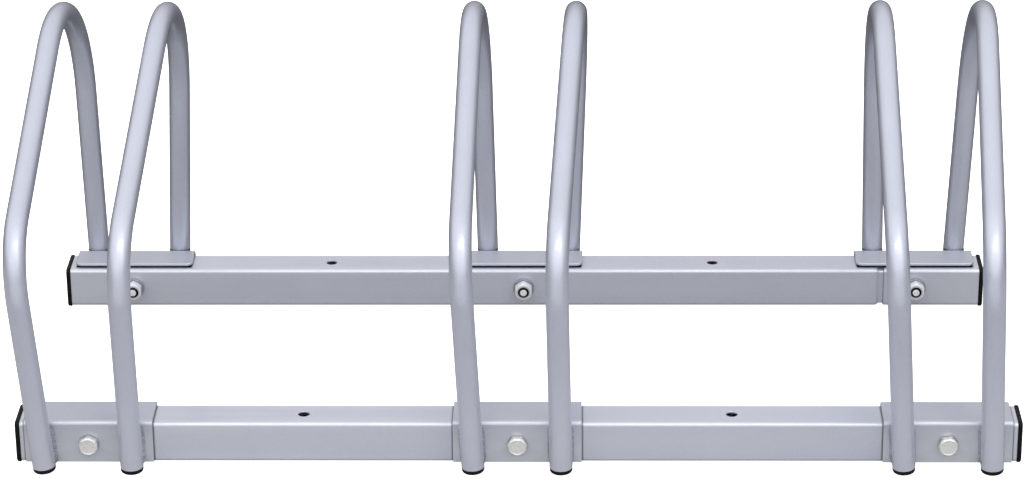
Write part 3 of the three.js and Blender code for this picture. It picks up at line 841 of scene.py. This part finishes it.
# Rubbed edges, lighter partly as a painted highlight
RUBBED_HIGHLIGHT_COLOUR = (0.80, 0.82, 0.86)
RUBBED_HIGHLIGHT_EDGES = (0.53, 0.62)  # from this pointiness to this one
# Painted shadow under the rear plates
PLATE_SHADOW_COLOUR = (0.008, 0.008, 0.012)
# Painted shade beside the saddles' ends
SADDLE_END_SHADE_COLOUR = (0.05, 0.055, 0.07)
# Painted shade round the bolt heads
HEAD_SHADE_COLOUR = (0.04, 0.045, 0.065)
SCUFF_COLOUR = (0.03, 0.03, 0.032)
SCUFFED_EDGES = (0.56, 0.7)
MIX_FIRST, MIX_SECOND, MIX_RESULT = 6, 7, 2  # the colour sockets of a Mix node


def add(tree, kind, inputs=None, **settings):
    """Adds a shader node. An input is given as a value or as another node's output."""
    made = tree.nodes.new(kind)
    for name, value in settings.items():
        setattr(made, name, value)
    for name, value in (inputs or {}).items():
        if isinstance(value, bpy.types.NodeSocket):
            tree.links.new(value, made.inputs[name])
        else:
            made.inputs[name].default_value = value
    return made


def blank_material(name, **sockets):
    """A new material, its node tree, its Principled shader with those sockets set, and its place.

    Its place is the output that gives object coordinates.
    """
    material = bpy.data.materials.new(name)
    material.use_nodes = True
    tree = material.node_tree
    surface = tree.nodes["Principled BSDF"]
    for socket, value in sockets.items():
        surface.inputs[socket.replace("_", " ")].default_value = value
    place = add(tree, "ShaderNodeTexCoord").outputs["Object"]
    return material, tree, surface, place


def clouds(tree, place, scale, detail, roughness=0.5):
    inputs = {"Vector": place, "Scale": scale, "Detail": detail, "Roughness": roughness}
    return add(tree, "ShaderNodeTexNoise", inputs).outputs["Fac"]


def spread(tree, value, low, high, start=0.3, end=0.7):
    """Maps a noise value to a range of numbers."""
    inputs = {"Value": value, "From Min": start, "From Max": end, "To Min": low, "To Max": high}
    return add(tree, "ShaderNodeMapRange", inputs).outputs["Result"]


def blend_colours(tree, factor, first, second):
    """Mixes two colours, each given as a value or as a node's output."""
    mix = add(tree, "ShaderNodeMix", {"Factor": factor}, data_type="RGBA")
    for socket, colour in ((mix.inputs[MIX_FIRST], first), (mix.inputs[MIX_SECOND], second)):
        if isinstance(colour, bpy.types.NodeSocket):
            tree.links.new(colour, socket)
        else:
            socket.default_value = (*colour, 1)
    return mix.outputs[MIX_RESULT]


def multiply(tree, *factors):
    """The product of several nodes' outputs."""
    product = factors[0]
    for factor in factors[1:]:
        inputs = {0: product, 1: factor}
        product = add(tree, "ShaderNodeMath", inputs, operation="MULTIPLY").outputs["Value"]
    return product


def bumps(tree, layers):
    """Chains bump nodes, each given as (height, strength, distance). Returns the last normal."""
    normal = None
    for height, strength, distance in layers:
        inputs = {"Height": height, "Strength": strength, "Distance": distance}
        if normal is not None:
            inputs["Normal"] = normal
        normal = add(tree, "ShaderNodeBump", inputs).outputs["Normal"]
    return normal


def darken_with_painted_shade(tree, colour):
    """Darkens a colour with painted shade where the mesh is marked for it."""
    hollow = add(tree, "ShaderNodeAttribute", attribute_name=SHADE_ATTRIBUTE).outputs["Fac"]
    return blend_colours(tree, hollow, colour, PAINTED_SHADE_COLOUR)


def off_middle(tree, across):
    """Distance along X from the middle of the nearest wheel place."""
    shifted = add(tree, "ShaderNodeMath", {0: across, 1: places[0]}, operation="SUBTRACT")
    inputs = {0: shifted.outputs["Value"], 1: (places[1] - places[0]) / 2}
    return add(tree, "ShaderNodeMath", inputs, operation="PINGPONG").outputs["Value"]


def plate_shadows(tree, place):
    """1 on top of the rear bar under each plate, a painted shadow in the gap there, and 0
    elsewhere.
    """
    split = add(tree, "ShaderNodeSeparateXYZ", {"Vector": place})
    half = BRACKET_LENGTH / 2 - PLATE_SHADOW_MARGIN
    edge = REAR_BAR_Y - BAR_HALF + PLATE_SETBACK
    inside = spread(tree, off_middle(tree, split.outputs["X"]), 1, 0, half, half + PLATE_SHADOW_MARGIN)
    fade = [edge + behind for behind in PLATE_SHADOW_FADE]
    under = spread(tree, split.outputs["Y"], 0, 1, *fade)
    depth = [BAR_TOP - below for below in PLATE_SHADOW_DEPTH]
    top = spread(tree, split.outputs["Z"], 0, 1, *depth)
    return multiply(tree, inside, under, top)


def saddle_end_shade(tree, place):
    """Painted shade on the front bar along both ends of each saddle, from 0 to 1."""
    split = add(tree, "ShaderNodeSeparateXYZ", {"Vector": place})
    aside = off_middle(tree, split.outputs["X"])
    fade = [BRACKET_LENGTH / 2 + beyond for beyond in SADDLE_END_SHADE_FADE]
    line = spread(tree, aside, SADDLE_END_SHADE, 0, *fade)
    front = spread(tree, split.outputs["Y"], 1, 0, -MM, MM)
    return multiply(tree, line, front)


def head_shade_rings(tree, place):
    """Painted shade on the saddles' front faces in a patchy ring round each bolt head, from 0 to
    1.
    """
    split = add(tree, "ShaderNodeSeparateXYZ", {"Vector": place})
    aside = off_middle(tree, split.outputs["X"])
    inputs = {0: split.outputs["Z"], 1: BAR_MIDDLE}
    above = add(tree, "ShaderNodeMath", inputs, operation="SUBTRACT").outputs["Value"]
    offset = add(tree, "ShaderNodeCombineXYZ", {"X": aside, "Z": above}).outputs["Vector"]
    away = add(tree, "ShaderNodeVectorMath", {0: offset}, operation="LENGTH").outputs["Value"]
    ring = spread(tree, away, 1, 0, HEAD_SHADE_RADIUS - HEAD_SHADE_FADE, HEAD_SHADE_RADIUS)
    face = spread(tree, split.outputs["Y"], 1, 0, FRONT_BAR_Y - BAR_HALF, FRONT_BAR_Y)
    patchy = spread(tree, clouds(tree, place, scale=130, detail=2), 0.15, 0.6)
    return multiply(tree, ring, face, patchy)


def silver_lacquer(name, dull, bright, sparkle, painted_shade=()):
    """Silver-grey metallic lacquer: cloudy tone, fine flake, orange peel and rubbed edges.

    The rubbed edges are lighter, partly as a painted highlight. The last argument pairs functions
    that make masks of painted shade with the colours that show there.
    """
    material, tree, surface, place = blank_material(
        name, Metallic=0.55, Coat_Weight=0.45, Coat_Roughness=0.08)
    tone = spread(tree, clouds(tree, place, scale=16, detail=3), 0, 1)
    flake = spread(tree, clouds(tree, place, scale=2400, detail=1), 0, 1)
    base = blend_colours(tree, tone, dull, bright)
    flaked = blend_colours(tree, flake, base, sparkle)
    # Sharp edges lighter: rubbed lacquer, and partly a painted highlight
    wear = add(tree, "ShaderNodeNewGeometry").outputs["Pointiness"]
    rubbed_highlight = spread(tree, wear, 0, 0.5, *RUBBED_HIGHLIGHT_EDGES)
    worn_and_shaded = blend_colours(tree, rubbed_highlight, flaked, RUBBED_HIGHLIGHT_COLOUR)
    for mask, colour in painted_shade:
        worn_and_shaded = blend_colours(tree, mask(tree, place), worn_and_shaded, colour)
    tree.links.new(darken_with_painted_shade(tree, worn_and_shaded), surface.inputs["Base Color"])
    gloss = spread(tree, clouds(tree, place, scale=90, detail=2), 0.30, 0.40)
    tree.links.new(gloss, surface.inputs["Roughness"])
    peel = clouds(tree, place, scale=420, detail=2)
    grain = clouds(tree, place, scale=1900, detail=1)
    normal = bumps(tree, [(peel, 0.12, 0.4 * MM), (grain, 0.08, 0.1 * MM)])
    tree.links.new(normal, surface.inputs["Normal"])
    return material


def weld_lacquer(name, dull, bright):
    """The same lacquer over a rough weld: pitted and uneven."""
    material, tree, surface, place = blank_material(
        name, Metallic=0.5, Coat_Weight=0.5, Coat_Roughness=0.12)
    tone = spread(tree, clouds(tree, place, scale=260, detail=3), 0, 1)
    base = blend_colours(tree, tone, dull, bright)
    tree.links.new(base, surface.inputs["Base Color"])
    gloss = spread(tree, clouds(tree, place, scale=500, detail=2), 0.22, 0.5)
    tree.links.new(gloss, surface.inputs["Roughness"])
    pits = clouds(tree, place, scale=700, detail=4, roughness=0.7)
    lumps = clouds(tree, place, scale=240, detail=2)
    normal = bumps(tree, [(lumps, 0.5, 1 * MM), (pits, 0.5, 0.3 * MM)])
    tree.links.new(normal, surface.inputs["Normal"])
    return material


def bright_zinc(name, metallic, dull, bright, stain):
    """Zinc plating: mottled and stained, with fine turning marks and painted shade in its
    crevices.
    """
    material, tree, surface, place = blank_material(
        name, Metallic=metallic, Coat_Weight=0.5, Coat_Roughness=0.06)
    tone = spread(tree, clouds(tree, place, scale=420, detail=3), 0, 1)
    blots = spread(tree, clouds(tree, place, scale=130, detail=2), 0, 0.5)
    stained = blend_colours(tree, blots, blend_colours(tree, tone, dull, bright), stain)
    tree.links.new(darken_with_painted_shade(tree, stained), surface.inputs["Base Color"])
    gloss = spread(tree, clouds(tree, place, scale=600, detail=3), 0.26, 0.38)
    tree.links.new(gloss, surface.inputs["Roughness"])
    marks = clouds(tree, place, scale=1100, detail=3, roughness=0.6)
    normal = bumps(tree, [(marks, 0.06, 0.05 * MM)])
    tree.links.new(normal, surface.inputs["Normal"])
    return material


def moulded_black():
    """Moulded black plastic: fine grain, slight sheen and dusty scuffs on the edges."""
    material, tree, surface, place = blank_material("moulded_black", Specular_IOR_Level=0.15)
    tone = spread(tree, clouds(tree, place, scale=160, detail=4), 0, 1)
    base = blend_colours(tree, tone, (0.002, 0.002, 0.0024), (0.006, 0.006, 0.0068))
    wear = add(tree, "ShaderNodeNewGeometry").outputs["Pointiness"]
    scuff = spread(tree, wear, 0, 0.3, *SCUFFED_EDGES)
    scuffed = blend_colours(tree, scuff, base, SCUFF_COLOUR)
    tree.links.new(scuffed, surface.inputs["Base Color"])
    gloss = spread(tree, clouds(tree, place, scale=300, detail=3), 0.38, 0.55)
    tree.links.new(gloss, surface.inputs["Roughness"])
    grain = clouds(tree, place, scale=1600, detail=2)
    normal = bumps(tree, [(grain, 0.2, 0.1 * MM)])
    tree.links.new(normal, surface.inputs["Normal"])
    return material


# ---------- studio ----------

CAMERA_PLACE = Vector((49.3, -2320.1, 1116.3)) * MM
CAMERA_PITCH = math.radians(23.47)  # down
CAMERA_YAW = math.radians(1.36)  # towards -X
CAMERA_ROLL = math.radians(-0.57)
CAMERA_LENS = 122.34
SENSOR_WIDTH = 36.0
LIGHT_AIM = Vector((0, 0, 0.12))

HORIZON = (0.05, 0.55)  # heights over which the surround brightens
SURROUND_DEPTH = (1.25, 0.5)  # strength on the camera's side and behind the rack
SURROUND_SLANT = (0.22, 0)  # added at the left and at the right
SURROUND_LEAST = 0.16
SHEET_REACH = 6
BOUNCE_DROP = 0.5 * MM
BOUNCE_DEPTHS = (-0.5, 0.3)  # places along Y between which the bounce sheet's tone changes
BOUNCE_FRONT = 0.3  # its tone up to there
BOUNCE_TONES = ((0.2, 0.35), (0.3, 0.46), (0.43, 0.46), (0.6, 0.39), (0.78, 0.38))  # share, tone
BOUNCE_BACK = (0.95, 0.05)


def add_camera():
    ahead = Vector((
        -math.sin(CAMERA_YAW) * math.cos(CAMERA_PITCH),
        math.cos(CAMERA_YAW) * math.cos(CAMERA_PITCH),
        -math.sin(CAMERA_PITCH)))
    right = Vector((math.cos(CAMERA_YAW), math.sin(CAMERA_YAW), 0))
    up = right.cross(ahead)
    rolled_right = right * math.cos(CAMERA_ROLL) + up * math.sin(CAMERA_ROLL)
    rolled_up = up * math.cos(CAMERA_ROLL) - right * math.sin(CAMERA_ROLL)
    camera = bpy.data.objects.new("camera", bpy.data.cameras.new("camera"))
    bpy.context.scene.collection.objects.link(camera)
    turn = Matrix((rolled_right, rolled_up, -ahead)).transposed()
    camera.matrix_world = Matrix.Translation(CAMERA_PLACE) @ turn.to_4x4()
    camera.data.lens = CAMERA_LENS
    camera.data.sensor_fit = "HORIZONTAL"
    camera.data.sensor_width = SENSOR_WIDTH
    camera.data.clip_start = 0.05
    camera.data.clip_end = 50
    bpy.context.scene.camera = camera


def softbox(name, place, size, radiance):
    """A rectangular light of an even radiance that faces the rack."""
    data = bpy.data.lights.new(name, "AREA")
    data.shape = "RECTANGLE"
    data.size, data.size_y = size
    data.energy = radiance * math.pi * size[0] * size[1]
    light = bpy.data.objects.new(name, data)
    bpy.context.scene.collection.objects.link(light)
    light.location = place
    light.rotation_mode = "QUATERNION"
    light.rotation_quaternion = (LIGHT_AIM - place).to_track_quat("-Z", "Y")


def add_lights():
    softbox("key", Vector((0.2, -1.35, 2.3)), size=(2.6, 0.4), radiance=2.6)
    softbox("key_right", Vector((1.1, -1.35, 2.3)), size=(0.9, 0.4), radiance=2.2)
    softbox("right_box", Vector((1.7, -1.5, 1.9)), size=(1.2, 1.2), radiance=0.5)
    softbox("front_fill", Vector((0, -0.6, 0.12)), size=(1.7, 0.22), radiance=0.5)
    softbox("top_fill", Vector((0, -0.1, 0.9)), size=(1.6, 0.4), radiance=0.1)


def add_world():
    """A soft surround: brightest above and on the camera's side, and a little brighter left."""
    world = bpy.data.worlds.new("surround")
    bpy.context.scene.world = world
    world.use_nodes = True
    tree = world.node_tree
    direction = add(tree, "ShaderNodeTexCoord").outputs["Generated"]
    split = add(tree, "ShaderNodeSeparateXYZ", {"Vector": direction})
    inputs = {"Value": split.outputs["Z"], "From Min": HORIZON[0], "From Max": HORIZON[1]}
    sky = add(tree, "ShaderNodeMapRange", inputs, interpolation_type="SMOOTHSTEP")
    depth = spread(tree, split.outputs["Y"], *SURROUND_DEPTH, -1, 1)
    slant = spread(tree, split.outputs["X"], *SURROUND_SLANT, -1, 1)
    facing = add(tree, "ShaderNodeMath", {0: depth, 1: slant}, operation="ADD")
    inputs = {0: sky.outputs["Result"], 1: facing.outputs["Value"], 2: SURROUND_LEAST}
    glow = add(tree, "ShaderNodeMath", inputs, operation="MULTIPLY_ADD")
    tree.links.new(glow.outputs["Value"], tree.nodes["Background"].inputs["Strength"])
    tree.nodes["Background"].inputs["Color"].default_value = (1, 1, 1, 1)


def add_sheet(name, drop, colour, glow):
    """A plain level sheet under the rack, far larger than the view, and its shader's node tree."""
    material, tree, surface, _ = blank_material(
        name, Roughness=1.0, Specular_IOR_Level=0.0, Emission_Strength=glow)
    surface.inputs["Base Color"].default_value = (*colour, 1)
    surface.inputs["Emission Color"].default_value = (1, 1, 1, 1)
    corners = [
        (SHEET_REACH * right, SHEET_REACH * back, -drop)
        for right, back in ((-1, -1), (1, -1), (1, 1), (-1, 1))]
    data = bpy.data.meshes.new(name)
    data.from_pydata(corners, [], [(0, 1, 2, 3)])
    data.materials.append(material)
    sheet = bpy.data.objects.new(name, data)
    bpy.context.scene.collection.objects.link(sheet)
    return sheet, tree


def add_floor():
    """A white floor for the camera alone."""
    floor, _ = add_sheet("floor", 0, (0.9, 0.9, 0.91), 1.0)
    floor.visible_glossy = False
    floor.visible_diffuse = False
    floor.visible_shadow = False


def add_bounce():
    """A grey sheet just under the floor that lights the rack from below, darkest behind it."""
    bounce, tree = add_sheet("bounce", BOUNCE_DROP, (BOUNCE_FRONT, BOUNCE_FRONT, BOUNCE_FRONT), 0)
    bounce.visible_camera = False
    place = add(tree, "ShaderNodeTexCoord").outputs["Object"]
    depth = add(tree, "ShaderNodeSeparateXYZ", {"Vector": place}).outputs["Y"]
    ramp = add(tree, "ShaderNodeValToRGB", {"Fac": spread(tree, depth, 0, 1, *BOUNCE_DEPTHS)})
    front, back = ramp.color_ramp.elements
    front.color = (BOUNCE_FRONT, BOUNCE_FRONT, BOUNCE_FRONT, 1)
    back.position, tone = BOUNCE_BACK
    back.color = (tone, tone, tone, 1)
    for position, tone in BOUNCE_TONES:
        ramp.color_ramp.elements.new(position).color = (tone, tone, tone, 1)
    tree.links.new(ramp.outputs["Color"], tree.nodes["Principled BSDF"].inputs["Base Color"])


# ---------- the rack ----------


def add_place(number, x):
    """One wheel place: two hoops on their brackets, with their welds, feet and bolts."""
    for node, mesh, y in (
            (f"front_saddle_{number}", saddle(), FRONT_BAR_Y),
            (f"rear_plate_{number}", plate(), REAR_BAR_Y)):
        place = Matrix.Translation((x, y, BAR_MIDDLE))
        finished(f"{node}_coated", mesh, bracket, node, place)
    front_top = SADDLE_TOP - BEND_OUTER_RADIUS
    rear_top = PLATE_TOP - BEND_OUTER_RADIUS
    for letter, side in (("a", -1), ("b", 1)):
        hoop_name = f"{number}{letter}"
        foot, knee, crown, heel = corners = hoop_corners(number, side)
        node = f"hoop_{hoop_name}"
        finished(f"{node}_coated", hoop(corners), silver, node)
        add_foot(f"front_foot_{hoop_name}", foot, knee)
        add_foot(f"rear_foot_{hoop_name}", heel, crown)
        seed = 10 * number + 3 * side
        rear_weld = f"rear_weld_{hoop_name}"
        add_beads(f"front_weld_{hoop_name}", foot, knee, -1, front_top, seed)
        add_beads(rear_weld, heel, crown, 1, rear_top, seed + REAR_BEAD_SEED)
        # The crest bead's near-black lacquer is painted shade in the groove
        crest = crest_bead(heel, crown, PLATE_TOP - CREST_BEAD_DROP, seed)
        finished(f"{rear_weld}_crest", crest, weld_in_painted_shade)
    reach = BAR_HALF + BRACKET_FACE
    add_fasteners("front", number, x, FRONT_BAR_Y - reach, 2 * reach, flip=False)
    add_fasteners("rear", number, x, REAR_BAR_Y + reach, BAR_HALF + reach, flip=True)


silver = silver_lacquer(
    "silver_lacquer", (0.49, 0.51, 0.615), (0.55, 0.57, 0.67), (0.61, 0.63, 0.73))
# The rail lacquer also paints a shadow under the rear plates and shade beside the saddles' ends
rail = silver_lacquer(
    "rail_lacquer", (0.50, 0.52, 0.63), (0.56, 0.58, 0.685), (0.62, 0.64, 0.745),
    painted_shade=[(plate_shadows, PLATE_SHADOW_COLOUR), (saddle_end_shade, SADDLE_END_SHADE_COLOUR)])
# The bracket lacquer also paints shade round the bolt heads
bracket = silver_lacquer(
    "bracket_lacquer", (0.45, 0.47, 0.55), (0.51, 0.53, 0.61), (0.57, 0.59, 0.67),
    painted_shade=[(head_shade_rings, HEAD_SHADE_COLOUR)])
weld = weld_lacquer("weld_lacquer", (0.27, 0.28, 0.33), (0.50, 0.52, 0.59))
# Near black: painted shade in the groove between each rear leg and its plate's bend
weld_in_painted_shade = weld_lacquer("weld_in_painted_shade", (0.05, 0.05, 0.06), (0.16, 0.17, 0.20))
zinc = bright_zinc(
    "bright_zinc", 0.65, (0.80, 0.80, 0.78), (0.92, 0.92, 0.91), (0.85, 0.84, 0.79))
nut_zinc = bright_zinc(
    "blue_zinc", 0.35, (0.84, 0.87, 0.92), (0.94, 0.97, 1.0), (0.88, 0.90, 0.94))
dull_zinc = bright_zinc(
    "dull_zinc", 0.9, (0.34, 0.36, 0.41), (0.46, 0.48, 0.54), (0.40, 0.42, 0.47))
plastic = moulded_black()

add_bar("front", FRONT_BAR_Y)
add_bar("rear", REAR_BAR_Y)
for number, x in enumerate(places, 1):
    add_place(number, x)

add_camera()
add_lights()
add_world()
add_floor()
add_bounce()
bpy.context.scene.view_settings.view_transform = "Standard"
